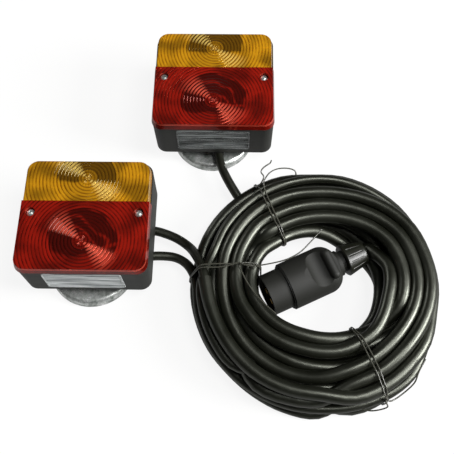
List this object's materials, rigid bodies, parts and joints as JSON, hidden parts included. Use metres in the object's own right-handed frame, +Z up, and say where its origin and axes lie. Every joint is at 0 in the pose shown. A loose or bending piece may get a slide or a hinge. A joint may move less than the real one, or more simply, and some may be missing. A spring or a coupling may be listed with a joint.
{
  "type": "magnetic towing light set",
  "caption": "Towing light set: square rear lamps with amber and red lenses on round magnet feet, a coiled cable held by wire ties and a seven-pin plug.",
  "frame": {"origin": "under the middle of the lamps, on the surface the magnets stand on", "axes": "+Z up, out of the lenses; +Y away from the number-plate windows, along the pair's longer side; +X to the right, towards the coil"},
  "size_m": [0.343, 0.33, 0.0644],
  "materials": {
    "housing_plastic": "satin moulded ABS",
    "amber_acrylic": "clear-coloured glossy acrylic with ring flutes",
    "red_acrylic": "clear-coloured glossy acrylic with ring flutes",
    "clear_acrylic": "clear glossy acrylic with horizontal flutes",
    "seal_rubber": "matte moulded rubber",
    "zinc_steel": "bright zinc plating",
    "reflector_plastic": "pale moulded plastic",
    "board_plastic": "matte insulating board",
    "contact_brass": "plain brass",
    "amber_glass": "coated bulb glass",
    "clear_glass": "clear bulb glass",
    "cap_nickel": "nickel-plated brass",
    "magnet_ferrite": "ground ferrite",
    "plug_plastic": "satin moulded plastic",
    "cable_sheath": "smooth glossy PVC sheath",
    "tie_wire": "plastic-coated tie wire"
  },
  "bodies": {
    "root": {"left_base_housing": "housing_plastic", "left_lens_amber": "amber_acrylic", "left_lens_red": "red_acrylic", "left_plate_window": "clear_acrylic", "left_lens_seal": "seal_rubber", "left_lens_screws": "zinc_steel", "left_reflector": "reflector_plastic", "left_bulb_carrier": "board_plastic", "left_bulb_sockets": "contact_brass", "left_indicator_bulb_glass": "amber_glass", "left_indicator_bulb_cap": "cap_nickel", "left_stop_bulb_glass": "clear_glass", "left_stop_bulb_cap": "cap_nickel", "left_contact_springs": "contact_brass", "left_magnet_cup": "zinc_steel", "left_magnet_ring": "magnet_ferrite", "left_magnet_spacer": "seal_rubber", "left_magnet_bolt": "zinc_steel", "left_magnet_nut": "zinc_steel", "left_cable_elbows": "seal_rubber", "right_base_housing": "housing_plastic", "right_lens_amber": "amber_acrylic", "right_lens_red": "red_acrylic", "right_plate_window": "clear_acrylic", "right_lens_seal": "seal_rubber", "right_lens_screws": "zinc_steel", "right_reflector": "reflector_plastic", "right_bulb_carrier": "board_plastic", "right_bulb_sockets": "contact_brass", "right_indicator_bulb_glass": "amber_glass", "right_indicator_bulb_cap": "cap_nickel", "right_stop_bulb_glass": "clear_glass", "right_stop_bulb_cap": "cap_nickel", "right_contact_springs": "contact_brass", "right_magnet_cup": "zinc_steel", "right_magnet_ring": "magnet_ferrite", "right_magnet_spacer": "seal_rubber", "right_magnet_bolt": "zinc_steel", "right_magnet_nut": "zinc_steel", "right_cable_elbows": "seal_rubber", "plug_front": "plug_plastic", "plug_body": "plug_plastic", "plug_pins": "contact_brass", "gland_nut": "plug_plastic", "gland_seal": "seal_rubber", "cable_coil": "cable_sheath", "main_cable_tail": "cable_sheath", "left_main_lead": "cable_sheath", "left_link_lead": "cable_sheath", "right_link_lead": "cable_sheath", "tie_upper": "tie_wire", "tie_left": "tie_wire", "tie_lower": "tie_wire"}
  },
  "joints": []
}
